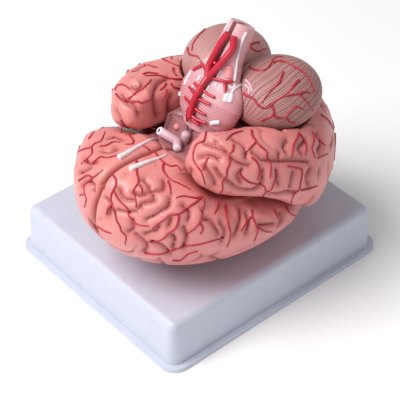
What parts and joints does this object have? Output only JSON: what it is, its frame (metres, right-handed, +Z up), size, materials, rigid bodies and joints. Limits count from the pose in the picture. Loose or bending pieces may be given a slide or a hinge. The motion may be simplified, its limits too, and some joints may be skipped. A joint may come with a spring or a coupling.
{
  "type": "anatomical brain model",
  "caption": "Life-size model of a human brain that comes apart into lobes, cerebellum, brain stem and arteries, standing upside down on a moulded display base.",
  "frame": {"origin": "on the table, under the middle of the whole model's footprint", "axes": "+X towards the back of the brain, +Y towards its left side, +Z up, which is the brain's underside with the brain stem"},
  "size_m": [0.1801, 0.1622, 0.1753],
  "materials": {
    "base": "satin white moulded plastic",
    "pins": "natural white plastic",
    "cortex": "hand painted salmon pink, with crimson arteries",
    "cerebellum": "hand painted brown pink, with crimson arteries",
    "stem": "hand painted pale pink",
    "artery": "glossy crimson",
    "nerve": "painted off white"
  },
  "bodies": {
    "base": {"base": "base", "base_pegs": "pins"},
    "brain": {"frontal_parietal_right": "cortex", "frontal_parietal_left": "cortex", "brain_stem_right": "stem", "brain_stem_left": "stem", "hemisphere_pins": "pins", "temporal_pins": "pins", "cerebellum_pins": "pins", "stem_pins": "pins", "olfactory_tract_right": "nerve", "olfactory_tract_left": "nerve", "optic_chiasm": "nerve", "pituitary_stalk": "stem"},
    "temporal_right": {"temporal_occipital_right": "cortex"},
    "temporal_left": {"temporal_occipital_left": "cortex"},
    "cerebellum_right_half": {"cerebellum_right": "cerebellum"},
    "cerebellum_left_half": {"cerebellum_left": "cerebellum"},
    "artery": {"basilar_artery": "artery"}
  },
  "joints": [
    {"name": "brain_lift", "type": "slide", "parent": "base", "child": "brain", "axis": [0, 0, 1], "range_m": [0, 0.08]},
    {"name": "temporal_right_draw", "type": "slide", "parent": "brain", "child": "temporal_right", "axis": [0, -0.9659, -0.2588], "range_m": [0, 0.045]},
    {"name": "temporal_left_draw", "type": "slide", "parent": "brain", "child": "temporal_left", "axis": [0, 0.9659, -0.2588], "range_m": [0, 0.045]},
    {"name": "cerebellum_right_lift", "type": "slide", "parent": "brain", "child": "cerebellum_right_half", "axis": [0.5299, 0, 0.848], "range_m": [0, 0.05]},
    {"name": "cerebellum_left_lift", "type": "slide", "parent": "brain", "child": "cerebellum_left_half", "axis": [0.5299, 0, 0.848], "range_m": [0, 0.05]},
    {"name": "artery_lift", "type": "slide", "parent": "brain", "child": "artery", "axis": [-0.848, 0, 0.5299], "range_m": [0, 0.04]}
  ]
}
